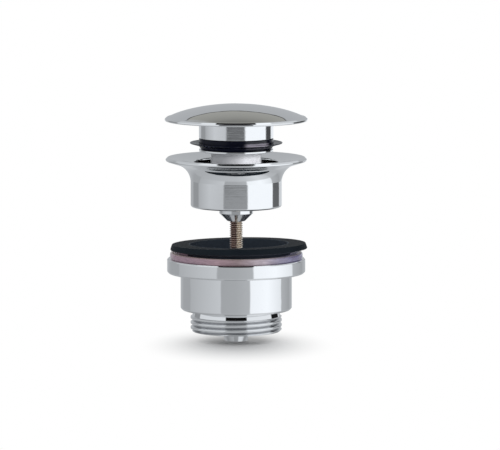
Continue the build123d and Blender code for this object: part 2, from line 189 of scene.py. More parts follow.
# Plunger
spring_wire = 0.9
spring_turns = 4.25
guide_wall = 1.1
guide_chamfer = 0.5
seat_play = 0.05
land_wall = 1.6
land_radius = bush_radius + seat_play + land_wall
sleeve_web = 2.6
sleeve_web_bottom = seal_top + 7.5
sleeve_wall = 1.2
tip_bore = 2.58
collar_bore = guide_radius + 0.3
seal_foot = 1.77
seal_belly = 0.15
seal_belly_height = 3.0
lip_root_width = 1.25
lip_root_height = 1.55
lip_rise = 1.1
lip_width = 1.5
lip_trim = 0.08
lip_thickness = 0.65
lip_edge_thickness = 0.4

# Cap: a wide dome, a chamfer, a nearly upright edge and a small bevel under it
cap_wall = 1.2
cap_lower_edge = cap_bottom + 0.15
cap_bevel = 0.3
cap_bevel_height = 0.4
cap_hem = 2.4
cap_brow = 0.1
cap_brow_height = 0.88
cap_chamfer = 1.0
cap_chamfer_height = 0.79
dome_edge = 1.5
dome_radius = 93.0
dome_turn_down = 1.0
cap_boss_radius = 5.4


# Shapes

def outline(*corners, closed=True, spacing=1.2):
    """Points of a turned outline through corners (radius, height, round).

    A corner's round is an arc that touches both of its sides, worked out as the arc's centre plus
    its radius times directions turned evenly from one side's normal to the other's. Straight runs
    get points near both ends and at even steps, so that shading stays true up to every edge.
    """
    arc_degrees, fewest_on_arc = 7, 5
    shortest_run, end_gap, inner_gap = 0.6, 0.1, 0.35
    given = np.array([(*c, 0.0)[:3] for c in corners])
    before = np.roll(given, 1, axis=0)
    after = np.roll(given, -1, axis=0)
    turns = []
    for here, back, ahead in zip(given, before, after):
        point, radius = here[:2], here[2]
        if radius == 0:
            turns.append(point[None, :])
            continue
        u = (back[:2] - point) / np.linalg.norm(back[:2] - point)
        v = (ahead[:2] - point) / np.linalg.norm(ahead[:2] - point)
        half = math.acos(np.clip(u @ v, -1, 1)) / 2
        centre = point + (u + v) / np.linalg.norm(u + v) * radius / math.sin(half)
        start = (point + u * radius / math.tan(half) - centre) / radius
        end = (point + v * radius / math.tan(half) - centre) / radius
        turn = math.pi - 2 * half
        steps = max(fewest_on_arc, round(math.degrees(turn) / arc_degrees))
        share = np.linspace(0, 1, steps)[:, None]
        arc = (np.sin((1 - share) * turn) * start + np.sin(share * turn) * end) / math.sin(turn)
        turns.append(centre + radius * arc)
    line = []
    for number, corner in enumerate(turns):
        line.append(corner)
        if number == len(turns) - 1 and not closed:
            continue
        a, b = corner[-1], turns[(number + 1) % len(turns)][0]
        length = np.linalg.norm(b - a)
        if length < shortest_run:
            continue
        inner = np.linspace(inner_gap, length - inner_gap, max(2, round(length / spacing)))
        stops = np.concatenate([[end_gap], inner, [length - end_gap]])[:, None] / length
        line.append(a + (b - a) * stops)
    return np.concatenate(line)


def turned_grid(line, segments=224, closed=True, relief=None):
    """Grid of points turned about the axis from an outline of (radius, height) points.

    Each point is (radius cos angle, radius sin angle, height). The outline runs so that its
    outside is on its right. relief, if given, changes the radii from the angles and heights.
    """
    area = np.sum(line[:, 0] * np.roll(line[:, 1], -1) - np.roll(line[:, 0], -1) * line[:, 1])
    if area < 0:
        line = line[::-1]
    angle = np.linspace(0, 2 * np.pi, segments, endpoint=False)[None, :]
    radius = np.broadcast_to(line[:, :1], (len(line), segments))
    height = np.broadcast_to(line[:, 1:], (len(line), segments))
    if relief is not None:
        radius = relief(angle, radius, height)
    points = np.stack([radius * np.cos(angle), radius * np.sin(angle), height], axis=-1)
    return points, closed


def bar_grid(start, end, width, height):
    """A bar from start to end with rounded flanks and closed ends.

    Its section is a superellipse: each half size times the 0.4th power of the cosine's or sine's
    amount, with its sign. The two rows at each end shrink to the middle.
    """
    power = 0.4
    start, end = np.array(start, float), np.array(end, float)
    along = (end - start) / np.linalg.norm(end - start)
    side = np.cross([0, 0, 1], along)
    angle = np.linspace(0, 2 * np.pi, 32, endpoint=False)
    across = np.sign(np.cos(angle)) * np.abs(np.cos(angle)) ** power * width / 2
    up = np.sign(np.sin(angle)) * np.abs(np.sin(angle)) ** power * height / 2
    section = across[:, None] * side + up[:, None] * np.array([0, 0, 1])
    stations = np.array([0, 0, 0.02, 0.5, 0.98, 1, 1])[:, None, None]
    size = np.array([0, 0.9, 1, 1, 1, 0.9, 0])[:, None, None]
    return start + (end - start) * stations + section[None] * size, False


def star_spokes(count, inner, outer, middle, width, height, start_angle=0.0):
    """Bars that stand round the axis at even angles, from an inner to an outer radius."""
    bars = []
    for number in range(count):
        angle = math.radians(start_angle + 360 / count * number)
        out = np.array([math.cos(angle), math.sin(angle), 0])
        lift = np.array([0, 0, middle])
        bars.append(bar_grid(out * inner + lift, out * outer + lift, width, height))
    return bars


def right_hand_thread(pitch, depth, phase, start, end, crest, narrow=1.0):
    """Relief for a rolled right-hand thread between two heights.

    The thread's turn is (height - phase) over the pitch, less the angle over a full turn, so the
    ridges climb one pitch in a turn. The groove is the depth times half of one minus the turn's
    cosine, raised to the power narrow, which makes it narrower. The smaller of the thread's and
    the outline's radius holds, and only points near the crest radius are changed.
    """

    def relief(angle, radius, height):
        turn = (height - phase) / pitch - angle / (2 * np.pi)
        groove = crest - depth * (0.5 * (1 - np.cos(2 * np.pi * turn))) ** narrow
        threaded = (height >= start) & (height <= end) & (radius > crest - 2 * depth)
        return np.where(threaded, np.minimum(radius, groove), radius)

    return relief


def piece(name, grids, body, finish, stands_for, place=None, sharp=32):
    """One finished piece from grids of points: a mesh in metres, which rides, replaces and wears."""
    corners, quads, start = [], [], 0
    for points, closed in grids:
        rows, columns = points.shape[:2]
        index = start + np.arange(rows * columns).reshape(rows, columns)
        nxt = np.roll(index, -1, axis=0)
        if not closed:
            index, nxt = index[:-1], nxt[:-1]
        quad = np.stack([index, np.roll(index, -1, axis=1), np.roll(nxt, -1, axis=1), nxt], axis=-1)
        corners.append(points.reshape(-1, 3))
        quads.append(quad.reshape(-1, 4))
        start += rows * columns
    points = np.concatenate(corners)
    if place is not None:
        points = place(points)
    mesh = bpy.data.meshes.new(name)
    mesh.from_pydata((points * MM).tolist(), [], np.concatenate(quads).tolist())
    shape = bmesh.new()
    shape.from_mesh(mesh)
    bmesh.ops.remove_doubles(shape, verts=shape.verts, dist=1e-7)
    bmesh.ops.dissolve_degenerate(shape, edges=shape.edges, dist=1e-8)
    shape.to_mesh(mesh)
    shape.free()
    mesh.shade_smooth()
    mesh.set_sharp_from_angle(angle=math.radians(sharp))
    mesh.materials.append(finish)
    made = bpy.data.objects.new(name, mesh)
    bpy.context.scene.collection.objects.link(made)
    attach(made, body)
    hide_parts(*stands_for)
    return made


# Materials

class Socket:
    """One output of a node, with arithmetic that adds Math nodes."""

    def __init__(self, graph, link):
        self.graph, self.link = graph, link

    def __add__(self, other):
        return self.graph.math("ADD", self, other)

    def __sub__(self, other):
        return self.graph.math("SUBTRACT", self, other)

    def __rsub__(self, other):
        return self.graph.math("SUBTRACT", other, self)

    def __mul__(self, other):
        return self.graph.math("MULTIPLY", self, other)

    def __truediv__(self, other):
        return self.graph.math("DIVIDE", self, other)

    def __abs__(self):
        return self.graph.math("ABSOLUTE", self)

    __radd__ = __add__


class Graph:
    """The node tree of one material or of the world."""

    def __init__(self, owner):
        owner.use_nodes = True
        self.tree = owner.node_tree
        self.tree.nodes.clear()

    def add(self, kind, values=None, output=0, **settings):
        """A node of a kind: its settings first, then the values or links of its sockets."""
        node = self.tree.nodes.new(kind)
        for key, value in settings.items():
            setattr(node, key, value)
        for key, value in (values or {}).items():
            if isinstance(value, Socket):
                self.tree.links.new(value.link, node.inputs[key])
            else:
                node.inputs[key].default_value = value
        return Socket(self, node.outputs[output]) if node.outputs else None

    def parts(self, vector):
        """The x, y and z of a vector."""
        split = self.add("ShaderNodeSeparateXYZ", {0: vector}).link.node
        return [Socket(self, output) for output in split.outputs]

    def math(self, operation, *values):
        return self.add("ShaderNodeMath", dict(enumerate(values)), operation=operation)

    def larger(self, first, second):
        return self.math("MAXIMUM", first, second)

    def far_out(self, x, y):
        """Distance of (x, y) from the axis."""
        return self.math("SQRT", x * x + y * y)

    def around(self, x, y):
        """Share of the full turn of a direction, where one half is the camera's side."""
        return self.math("ARCTAN2", x, 0.0 - y) / (2 * math.pi) + 0.5

    def ramp(self, value, *stops):
        """A colour by value. Each stop is (position, colour)."""
        made = self.add("ShaderNodeValToRGB", {0: value})
        elements = made.link.node.color_ramp.elements
        while len(elements) < len(stops):
            elements.new(1.0)
        for element, (position, colour) in zip(elements, stops):
            element.position = position
            element.color = (*colour, 1.0)
        return made

    def mix(self, share, first, second):
        """The first colour where share is 0, the second where it is 1."""
        first, second = (c if isinstance(c, Socket) else (*c, 1.0) for c in (first, second))
        return self.add(
            "ShaderNodeMix", {0: share, 6: first, 7: second}, output=2, data_type="RGBA"
        )

    def step(self, value, low_edge, high_edge, low_value=0.0, high_value=1.0):
        """A smooth change from low_value to high_value as value goes from one edge to the other."""
        return self.add(
            "ShaderNodeMapRange",
            {0: value, 1: low_edge, 2: high_edge, 3: low_value, 4: high_value},
            interpolation_type="SMOOTHSTEP",
        )

    def fall(self, value, low_edge, high_edge, from_value=1.0):
        """A smooth fall to nothing as value goes from one edge to the other."""
        return self.step(value, low_edge, high_edge, from_value, 0.0)

    def noise(self, vector, scale, detail=3.0, roughness=0.55):
        return self.add(
            "ShaderNodeTexNoise",
            {"Vector": vector, "Scale": scale, "Detail": detail, "Roughness": roughness},
        )


BLACK = (0.0, 0.0, 0.0)
WHITE = (1.0, 1.0, 1.0)


def grey(level, tint=WHITE):
    """A colour from the 0 to 255 level that a screen shows, by the sRGB curve, times a tint."""
    share = level / 255
    linear = share / 12.92 if share < 0.04045 else ((share + 0.055) / 1.055) ** 2.4
    return tuple(linear * t for t in tint)


class Finish(Graph):
    """A material on object coordinates in millimetres, with its principled shader at the end."""

    def __init__(self, name):
        self.material = bpy.data.materials.new(name)
        super().__init__(self.material)
        coordinates = self.add("ShaderNodeTexCoord", output="Object")
        self.place = self.add(
            "ShaderNodeVectorMath", {0: coordinates, "Scale": 1 / MM}, operation="SCALE"
        )
        self.x, self.y, self.z = self.parts(self.place)

    def stretched(self, x, y, z):
        """Object coordinates with each axis multiplied by a factor."""
        return self.add("ShaderNodeVectorMath", {0: self.place, 1: (x, y, z)}, operation="MULTIPLY")

    def bump(self, height, distance, strength, under=None):
        """A bump of a distance in millimetres, on top of another if one lies under it."""
        values = {"Height": height, "Distance": distance * MM, "Strength": strength}
        if under is not None:
            values["Normal"] = under
        return self.add("ShaderNodeBump", values)

    def finish(self, **values):
        """Closes the material. Underscores in the names stand for spaces."""
        values = {key.replace("_", " "): value for key, value in values.items()}
        shader = self.add("ShaderNodeBsdfPrincipled", values)
        self.add("ShaderNodeOutputMaterial", {"Surface": shader})
        return self.material


def chrome(name, turning=0.0, ripple=0.35, haze=0.03, recess_shade=None):
    """Chrome plate: a slow ripple of the polish, faint haze, and turning lines if asked for.

    A shade function, if given, works out from the finish where shade is painted into the plate: there it
    is darker.
    """
    plate = (0.93, 0.935, 0.94)
    clouded = tuple(c * 0.965 for c in plate)
    recess_shade_colour = (0.24, 0.25, 0.27)
    f = Finish(name)
    slow = f.noise(f.place, scale=0.09, detail=2.0)
    cloud = f.noise(f.place, scale=0.6, detail=4.0)
    shade = f.mix(cloud * 0.5 + 0.1, plate, clouded)
    rough = cloud * haze + 0.02
    normal = f.bump(slow, ripple, strength=0.25)
    if turning:
        rings = f.noise(f.stretched(0.03, 0.03, 1.0), scale=1.3, detail=6.0, roughness=0.75)
        rough = rough + rings * turning * 0.5
        normal = f.bump(rings, turning, strength=0.5, under=normal)
    # Painted shade: the plate is darker and rougher where the given mask is one.
    if recess_shade:
        recess_share = recess_shade(f)
        shade = f.mix(recess_share, shade, recess_shade_colour)
        rough = rough + recess_share * 0.25
    return f.finish(Base_Color=shade, Metallic=1.0, Roughness=rough, Normal=normal)


def painted_recess_shade(f):
    """Painted shade: one inside the cup, and less at the bottom of the tail's thread."""
    radius = f.far_out(f.x, f.y)
    cup = f.fall(radius, cup_radius + 0.1, cup_radius + 0.5)
    cup = cup * f.step(f.z, body_bottom + 0.6, body_bottom + cup_floor)
    bottom = tail_radius - tail_thread_depth
    groove = f.fall(radius, bottom, tail_radius - tail_thread_depth * 0.35, 0.55)
    outside = f.step(radius, bottom - 0.4, bottom - 0.2)
    threaded = f.fall(f.z, thread_end - 0.4, thread_end)
    return f.larger(cup, groove * outside * threaded)


def turned_metal(name):
    """Satin turned metal: fine rings that blur the reflections, and painted shade on its left side.

    Painted light, standing for the light that its skin scatters towards the front right, is given as a
    faint emission, which fades in the shade under the collar.
    """
    shade_top = collar_bottom - 0.6
    shade_height = 2.4
    f = Finish(name)
    rings = f.noise(f.stretched(0.03, 0.03, 4.0), scale=2.4, detail=5.0, roughness=0.7)
    cloud = f.noise(f.place, scale=0.35)
    shade = f.mix(rings, (0.90, 0.90, 0.92), (0.98, 0.98, 1.0))
    # Painted shade: the left side is darker.
    shade = f.mix(f.fall(f.x, -9.0, 4.0, 0.25), shade, (0.3, 0.3, 0.31))
    # Painted light: a faint glow that grows towards the front right.
    scatter = f.ramp(
        f.step(f.x, -11.0, 11.0),
        (0.1, (0.03, 0.03, 0.03)),
        (0.5, (0.22, 0.22, 0.23)),
        (0.8, (0.44, 0.44, 0.46)),
        (0.95, (0.42, 0.42, 0.44)),
    )
    shaded = f.step(f.z, shade_top - shade_height, shade_top, 0.0, 0.85)
    hidden = f.larger(f.step(f.y, -5.0, 0.0), shaded)
    return f.finish(
        Base_Color=shade,
        Metallic=0.85,
        Roughness=0.62 + cloud * 0.10,
        Emission_Color=f.mix(hidden, scatter, BLACK),
        Emission_Strength=1.0,
        Normal=f.bump(rings, 0.12, strength=0.5),
    )


def bronzed_brass(name):
    """Brown bronzed brass, with painted shade on its left and in the grooves, and painted highlights on
    its right and on the crests.
    """
    dark = (0.03, 0.018, 0.014)
    crest_highlight = (1.0, 0.90, 0.77)
    bottom = bolt_radius - bolt_thread_depth
    f = Finish(name)
    patches = f.noise(f.place, scale=0.5, detail=4.0)
    grain = f.noise(f.place, scale=6.0, detail=4.0)
    radius = f.far_out(f.x, f.y)
    # Painted highlight on the crests and painted shade in the grooves, by radius.
    crest = f.step(radius, bottom + bolt_thread_depth * 0.4, bottom + bolt_thread_depth * 0.75)
    groove = f.fall(radius, bottom, bottom + bolt_thread_depth * 0.5, 0.95)
    # Painted light: the left side is shaded and the right side lit.
    lit_side = f.step(f.x + patches, 0.35, 1.05)
    shaded_brown = f.mix(patches, (0.26, 0.13, 0.115), (0.43, 0.26, 0.23))
    bright = f.mix(patches, (0.95, 0.74, 0.57), (1.0, 0.88, 0.72))
    brown = f.mix(groove * (1.0 - lit_side * 0.55), f.mix(lit_side, shaded_brown, bright), dark)
    return f.finish(
        Base_Color=f.mix(crest * (0.25 + lit_side * 0.75), brown, crest_highlight),
        Metallic=0.6,
        Roughness=0.14 + patches * 0.14,
        Normal=f.bump(grain, 0.02, strength=0.4),
    )


def moulded_rubber(name, shade, sheen, rough, speckle=0.0, painted_light=None, highlight_patch=0.0):
    """Moulded rubber with a fine grain and soft clouds, and pale specks if asked for.

    A painted-light function, if given, works out from the finish where light is painted in: there the
    surface is paler. The patch value is how strong a patch of clear coat, with two painted highlight
    streaks, lies on the right of the front.
    """
    paler = tuple(c * 1.7 + 0.004 for c in shade)
    speck = (0.16, 0.17, 0.18)
    painted_light_colour = (0.046, 0.060, 0.080)
    streak = (0.70, 0.64, 0.76)
    f = Finish(name)
    cloud = f.noise(f.place, scale=0.16, detail=4.0, roughness=0.6)
    grain = f.noise(f.place, scale=7.0, roughness=0.6)
    tone = f.mix(cloud, shade, paler)
    coat = {}
    if speckle:
        specks = f.step(f.noise(f.place, scale=3.2, detail=2.0), 0.66, 0.74)
        tone = f.mix(specks * speckle, tone, speck)
    # Painted light: paler where the given mask is one.
    if painted_light:
        tone = f.mix(painted_light(f), tone, painted_light_colour)
    # Painted highlight: two pale streaks under a clear coat on the right of the front.
    if highlight_patch:
        highlight_area = f.step(f.x, 3.0, 6.0) * f.fall(f.x, 13.0, 15.5) * highlight_patch
        upper = f.fall(abs(f.z - (seal_top - 1.9)), 0.1, 0.75)
        lower = f.fall(abs(f.z - (seal_top - 3.6)), 0.1, 0.5, 0.15)
        tone = f.mix(f.larger(upper, lower) * highlight_area, tone, streak)
        coat = {"Coat_Weight": highlight_area, "Coat_Roughness": 0.12}
    return f.finish(
        Base_Color=tone,
        Roughness=rough + cloud * 0.14,
        Specular_IOR_Level=sheen,
        Normal=f.bump(grain, 0.05, strength=0.5),
        **coat,
    )


def washer_painted_light(f):
    """Painted light: one in the washer's bore and on its tapered underside, which lean with it."""
    side = f.x - washer_shift
    bore = f.fall(f.far_out(side, f.y), washer_bore + 0.3, washer_bore + 0.8)
    down = side * math.cos(washer_low_side) + f.y * math.sin(washer_low_side)
    level = f.z + down * math.tan(washer_lean) - gasket_top
    return f.larger(bore, f.fall(level, washer_edge_height + 0.1, washer_edge_height + 0.7))


def clear_vinyl(name):
    """Clear soft vinyl with painted light and reflections: rose on the left, beige in front, pale violet
    and then deep blue right.

    Its bead shows a painted cream highlight line. The light that it carries inside is painted in as a
    faint emission.
    """
    deep = (0.08, 0.05, 0.07)
    cream = (0.56, 0.49, 0.41)
    f = Finish(name)
    # Painted light and reflections: the colour changes from left to right.
    painted_tones = f.ramp(
        f.step(f.x, -30.0, 30.0),
        (0.05, (0.24, 0.16, 0.20)),
        (0.30, (0.31, 0.21, 0.24)),
        (0.52, (0.24, 0.18, 0.19)),
        (0.80, (0.44, 0.38, 0.43)),
        (0.92, (0.26, 0.24, 0.34)),
        (1.0, (0.16, 0.15, 0.26)),
    )
    streaks = f.noise(f.stretched(0.5, 0.5, 3.0), scale=0.5, detail=4.0)
    wave = f.noise(f.place, scale=0.35, detail=2.0)
    shade = f.mix(f.step(streaks, 0.35, 0.65), f.mix(0.35, painted_tones, deep), painted_tones)
    # Painted highlight: a cream line on the bead's top.
    shade = f.mix(f.step(f.z, gasket_top, gasket_top + gasket_bead) * 0.45, shade, cream)
    return f.finish(
        Base_Color=shade,
        Roughness=0.16,
        Alpha=0.9,
        # Painted light: a faint glow in the vinyl's own colours.
        Emission_Color=f.mix(0.72, shade, BLACK),
        Emission_Strength=1.0,
        Normal=f.bump(wave, 0.5, strength=0.5),
        Coat_Weight=0.5,
    )


def acetal(name, shade):
    """Moulded acetal: waxy, with a slight unevenness."""
    f = Finish(name)
    cloud = f.noise(f.place, scale=0.4)
    return f.finish(
        Base_Color=f.mix(cloud, shade, tuple(c * 0.9 for c in shade)),
        Roughness=0.32 + cloud * 0.1,
        Normal=f.bump(cloud, 0.1, strength=0.3),
    )


def drawn_steel(name):
    """Plain drawn steel with fine drawing marks."""
    f = Finish(name)
    marks = f.noise(f.stretched(1.0, 1.0, 5.0), scale=2.0, detail=4.0)
    return f.finish(
        Base_Color=f.mix(marks, (0.50, 0.50, 0.51), (0.66, 0.66, 0.67)),
        Metallic=1.0,
        Roughness=0.24 + marks * 0.12,
        Normal=f.bump(marks, 0.04, strength=0.4),
    )


# The body's chrome has painted shade inside the cup and at the bottom of the tail's thread.
CHROME_BODY = chrome("chrome_body", recess_shade=painted_recess_shade)
CHROME_FLANGE = chrome("chrome_flange", turning=0.02, ripple=0.12)
CHROME_PLUNGER = chrome("chrome_plunger", turning=0.05)
CHROME_CAP = chrome("chrome_cap", ripple=0.2, haze=0.02)
TURNED = turned_metal("turned_metal")
BRONZE = bronzed_brass("bronzed_bolt")
# The washer has painted light in its bore and on its tapered underside.
WASHER_RUBBER = moulded_rubber(
    "black_rubber", (0.0030, 0.0062, 0.0098), sheen=0.09, rough=0.50, speckle=0.05, painted_light=washer_painted_light
)
SEAL_RUBBER = moulded_rubber("seal_rubber", (0.003, 0.004, 0.012), sheen=0.12, rough=0.10, highlight_patch=0.75)
VINYL = clear_vinyl("clear_vinyl")
WHITE_ACETAL = acetal("white_acetal", (0.80, 0.80, 0.77))
GREY_ACETAL = acetal("grey_acetal", (0.25, 0.26, 0.28))
STEEL = drawn_steel("spring_steel")


# Pieces, from the foot upwards

def make_waste_body():
    """Threaded tail, cup and rim, with the bridge and its tapped boss."""
    tail_bore = tail_radius - tail_wall
    relief_radius = tail_radius - relief_depth
    rows = np.linspace(tail_bottom + tail_chamfer, thread_end, 130)
    shell = outline(
        (tail_bore, tail_bottom, 0.4),
        (tail_radius - tail_chamfer, tail_bottom, 0.15),
        (tail_radius, tail_bottom + tail_chamfer),
        *[(tail_radius, z) for z in rows[1:]],
        (relief_radius + relief_cone, thread_end + thread_run_out, 0.1),
        (relief_radius, body_bottom - relief_height, 0.3),
        (relief_radius, body_bottom, 0.25),
        (body_radius - body_chamfer, body_bottom, 0.3),
        (body_radius, body_bottom + body_chamfer, 0.5),
        (body_radius, rim_bottom, 0.18),
        (rim_radius - rim_lower_chamfer, rim_bottom, 0.3),
        (rim_radius, rim_bottom + rim_lower_chamfer, 0.5),
        (rim_radius, rim_top - rim_upper_chamfer, 0.1),
        (rim_radius - rim_upper_chamfer, rim_top, 0.1),
        (cup_radius, rim_top, 0.3),
        (cup_radius, body_bottom + cup_floor + cup_slope, 1.0),
        (tail_bore, body_bottom + cup_floor, 0.4),
    )
    thread = right_hand_thread(
        tail_thread_pitch, tail_thread_depth, tail_thread_phase, tail_bottom, thread_end, tail_radius,
        narrow=2.2,
    )
    boss = outline(
        (tapped_radius, 0.0, 0.3),
        (boss_radius, 0.0, 0.5),
        (boss_radius, boss_height, 0.3),
        (tapped_radius, boss_height, 0.3),
    )
    spokes = star_spokes(
        bridge_spokes, tapped_radius + spoke_root, tail_bore + tail_wall / 2, bridge_middle,
        bridge_width, bridge_height, start_angle=90,
    )
    grids = [turned_grid(shell, 240, relief=thread), turned_grid(boss, 96), *spokes]
    piece(
        "lower_body_casting", grids, "lower_body", CHROME_BODY, ["waste_body"],
        sharp=60,
    )


def make_gasket():
    """Clear ring with a low bead round its edge, a little uneven round its rim.

    The rim's radius grows by 0.05 times the sine of three times the angle and 0.04 times the sine
    of seven times the angle, each from its own start.
    """
    edge = gasket_radius - gasket_play
    foot = edge - gasket_bead_width
    face = gasket_top - gasket_sink
    ring = outline(
        (gasket_bore, gasket_bottom, 0.5),
        (edge, gasket_bottom, 0.9),
        (edge, gasket_top + gasket_bead, 0.9),
        (foot, gasket_top + gasket_bead, 0.3),
        (foot - gasket_bead_slope, face, 0.3),
        (gasket_bore, face, 0.7),
    )

    def uneven(angle, radius, height):
        wave = 0.05 * np.sin(3 * angle + 0.6) + 0.04 * np.sin(7 * angle + 2.0)
        return radius + wave * (radius > (gasket_bore + gasket_radius) / 2)

    piece(
        "clear_ring", [turned_grid(ring, relief=uneven)], "lower_body", VINYL,
        ["clear_gasket"],
    )


def make_washer():
    """Black washer: flat on top, tapered underneath, with a neck that stands in the clear ring.

    It lies loose, off centre and leaning to its low side: a point goes to its shift and lift plus
    its parts times the washer's own three directions, which are turned by the lean.
    """
    foot = washer_radius - washer_taper
    neck = washer_bore + washer_neck_wall
    ring = outline(
        (washer_bore, -washer_neck_depth, 0.2),
        (neck, -washer_neck_depth, 0.3),
        (neck, 0.0, 0.3),
        (foot, 0.0, 0.8),
        (washer_radius, washer_edge_height, 0.28),
        (washer_radius - washer_draft, washer_height, 0.3),
        (washer_bore, washer_height, 0.08),
    )
    centre = [washer_shift, 0, gasket_top + foot * math.sin(washer_lean)]
    out = np.array([math.cos(washer_low_side), math.sin(washer_low_side), 0])
    down = out * math.cos(washer_lean) - np.array([0, 0, math.sin(washer_lean)])
    level = np.array([-math.sin(washer_low_side), math.cos(washer_low_side), 0])
    up = np.cross(down, level)

    def leaning(points):
        return points @ np.stack([down, level, up]) + centre

    piece(
        "black_washer", [turned_grid(ring, 256)], "lower_body", WASHER_RUBBER,
        ["rubber_washer"], place=leaning,
    )


def make_bolt():
    """Clamp bolt with its rolled thread, socket head and six-sided key hole.

    The key hole's radius is the key's over the cosine of the angle to the middle of its flat, or
    the outline's where that is smaller.
    """
    rows = np.linspace(bolt_tip + bolt_chamfer, head_bottom - 0.2, 560)
    shank = outline(
        (0.0, bolt_tip),
        (bolt_radius - bolt_chamfer, bolt_tip, 0.1),
        (bolt_radius, bolt_tip + bolt_chamfer),
        *[(bolt_radius, z) for z in rows[1:]],
        (bolt_radius, head_bottom, 0.1),
        (bolt_head_radius, head_bottom, 0.2),
        (bolt_head_radius, bolt_top, 0.6),
        (key_mouth_radius, bolt_top, 0.15),
        (key_corner_radius, bolt_top - key_mouth_depth),
        (key_corner_radius, bolt_top - bolt_key_depth),
        (0.0, bolt_top - bolt_key_depth - key_drill_depth),
        closed=False,
    )
    thread = right_hand_thread(
        bolt_thread_pitch, bolt_thread_depth, 0.0, bolt_tip, head_bottom - 0.3, bolt_radius,
        narrow=1.2,
    )

    def relief(angle, radius, height):
        margin = 0.1
        radius = thread(angle, radius, height)
        from_flat = np.abs((angle + np.pi / 6) % (np.pi / 3) - np.pi / 6)
        flats = bolt_key_radius / np.cos(from_flat)
        hole = height < bolt_top - key_mouth_depth + margin
        hole = hole & (height > bolt_top - bolt_key_depth - margin) & (radius < bolt_head_radius - 1.0)
        return np.where(hole, np.minimum(radius, flats), radius)

    piece(
        "bronzed_bolt", [turned_grid(shank, 72, closed=False, relief=relief)], "clamp_screw",
        BRONZE, ["clamp_bolt"], sharp=50,
    )


def make_flange():
    """Basin flange: spigot, flare and dished rim in one outline, with strainer and nosed hub.

    A faint crease ends the straight spigot. The flare's corner is where the line that leaves the
    crease at crease_turn meets the line of the rim's underside at flare_slope.
    """
    lean, rise = math.tan(crease_turn), math.tan(flare_slope)
    climb = (flare_corner - crease_height) / (1 - lean * rise)
    shell = outline(
        (bore_radius, spigot_bottom, 0.3),
        (spigot_radius, spigot_bottom, spigot_round),
        (spigot_radius, crease_height),
        (spigot_radius + climb * lean, crease_height + climb, flare_radius),
        (flange_radius, flange_under, flange_edge_round),
        (flange_radius, flange_crest - flange_break, 0.2),
        (flange_radius - flange_break, flange_crest, 0.2),
        (flange_radius - crest_inset, flange_crest, crest_round),
        (bore_radius, bore_edge, 0.8),
        spacing=0.8,
    )
    strainer_middle = spigot_bottom + strainer_height / 2
    hub = outline(
        (nose_bore, nose_bottom, 0.15),
        (nose_tip_radius, nose_bottom, 0.25),
        (hub_radius, nose_bottom + nose_cone_height, 0.4),
        (hub_radius, nose_bottom + hub_height, 0.3),
        (hub_bore, nose_bottom + hub_height, 0.3),
        (hub_bore, bolt_washer_bottom, 0.1),
        (nose_bore, bolt_washer_bottom, 0.1),
    )
    spokes = star_spokes(
        strainer_spokes, hub_bore + spoke_root, bore_radius + strainer_sink, strainer_middle,
        strainer_width, strainer_height,
    )
    grids = [turned_grid(shell, 240), turned_grid(hub, 128), *spokes]
    piece("flared_flange", grids, "upper_flange", CHROME_FLANGE, ["basin_flange"])


def make_guide_tube():
    """Satin guide cylinder."""
    tube = outline(
        (guide_radius - guide_wall, guide_bottom, 0.1),
        (guide_radius, guide_bottom, 0.1),
        (guide_radius, guide_top, guide_chamfer),
        (guide_radius - guide_wall, guide_top, 0.2),
    )
    piece(
        "guide_cylinder", [turned_grid(tube, 160)], "upper_flange", TURNED,
        ["guide_tube"],
    )


def make_spring():
    """Return spring: round wire wound about the rod, from the base's web to the spring seat.

    The middle of the wire is (coil radius cos turn, coil radius sin turn, height), where the height
    rises evenly with the turn. The wire's section stands square to that line, and shrinks to its middle
    at both ends. The spring stands on the web.
    """
    stations = 260
    wire = spring_wire / 2
    coil = spring_outer - wire
    full_turn = 2 * np.pi * spring_turns
    turn = np.concatenate([[0], np.linspace(0, full_turn, stations), [full_turn]])
    size = np.concatenate([[0], np.full(stations, wire), [0]])[:, None, None]
    climb = (spring_top - spring_bottom - spring_wire) / full_turn
    out = np.stack([np.cos(turn), np.sin(turn), 0 * turn], axis=-1)
    along = np.stack([-np.sin(turn) * coil, np.cos(turn) * coil, 0 * turn + climb], axis=-1)
    along = along / np.linalg.norm(along, axis=-1, keepdims=True)
    up = np.cross(out, along)
    middle = out * coil + np.outer(spring_bottom + wire + climb * turn, [0, 0, 1])
    angle = np.linspace(0, 2 * np.pi, 20, endpoint=False)[None, :, None]
    section = np.cos(angle) * -out[:, None] + np.sin(angle) * up[:, None]
    grid = middle[:, None] + size * section
    spring = piece(
        "coil_spring", [(grid, False)], "upper_flange", STEEL, ["return_spring"]
    )
    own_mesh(spring)


def make_sleeve():
    """Chrome sleeve of the plunger, with the land for the seal, and the collar under it."""
    bore = bush_radius + seat_play
    web_top = sleeve_web_bottom + sleeve_web
    sleeve = outline(
        (bore, sleeve_bottom, 0.2),
        (land_radius, sleeve_bottom, 0.2),
        (land_radius, seal_top, 0.1),
        (sleeve_radius, seal_top, 0.25),
        (sleeve_radius, sleeve_top, 0.15),
        (sleeve_radius - sleeve_wall, sleeve_top, 0.1),
        (sleeve_radius - sleeve_wall, web_top, 0.3),
        (tip_bore, web_top, 0.1),
        (tip_bore, sleeve_web_bottom, 0.1),
        (bore, sleeve_web_bottom, 0.3),
    )
    piece(
        "plunger_shell", [turned_grid(sleeve)], "plunger", CHROME_PLUNGER,
        ["plunger_sleeve"],
    )
    collar = outline(
        (collar_bore, collar_bottom, 0.15),
        (collar_radius, collar_bottom, 0.3),
        (collar_radius, sleeve_bottom, 0.25),
        (bush_radius, sleeve_bottom, 0.1),
        (bush_radius, collar_top, 0.1),
        (collar_bore, collar_top, 0.1),
    )
    piece(
        "seal_retaining_ring", [turned_grid(collar)], "plunger", CHROME_PLUNGER,
        ["seal_collar"],
    )


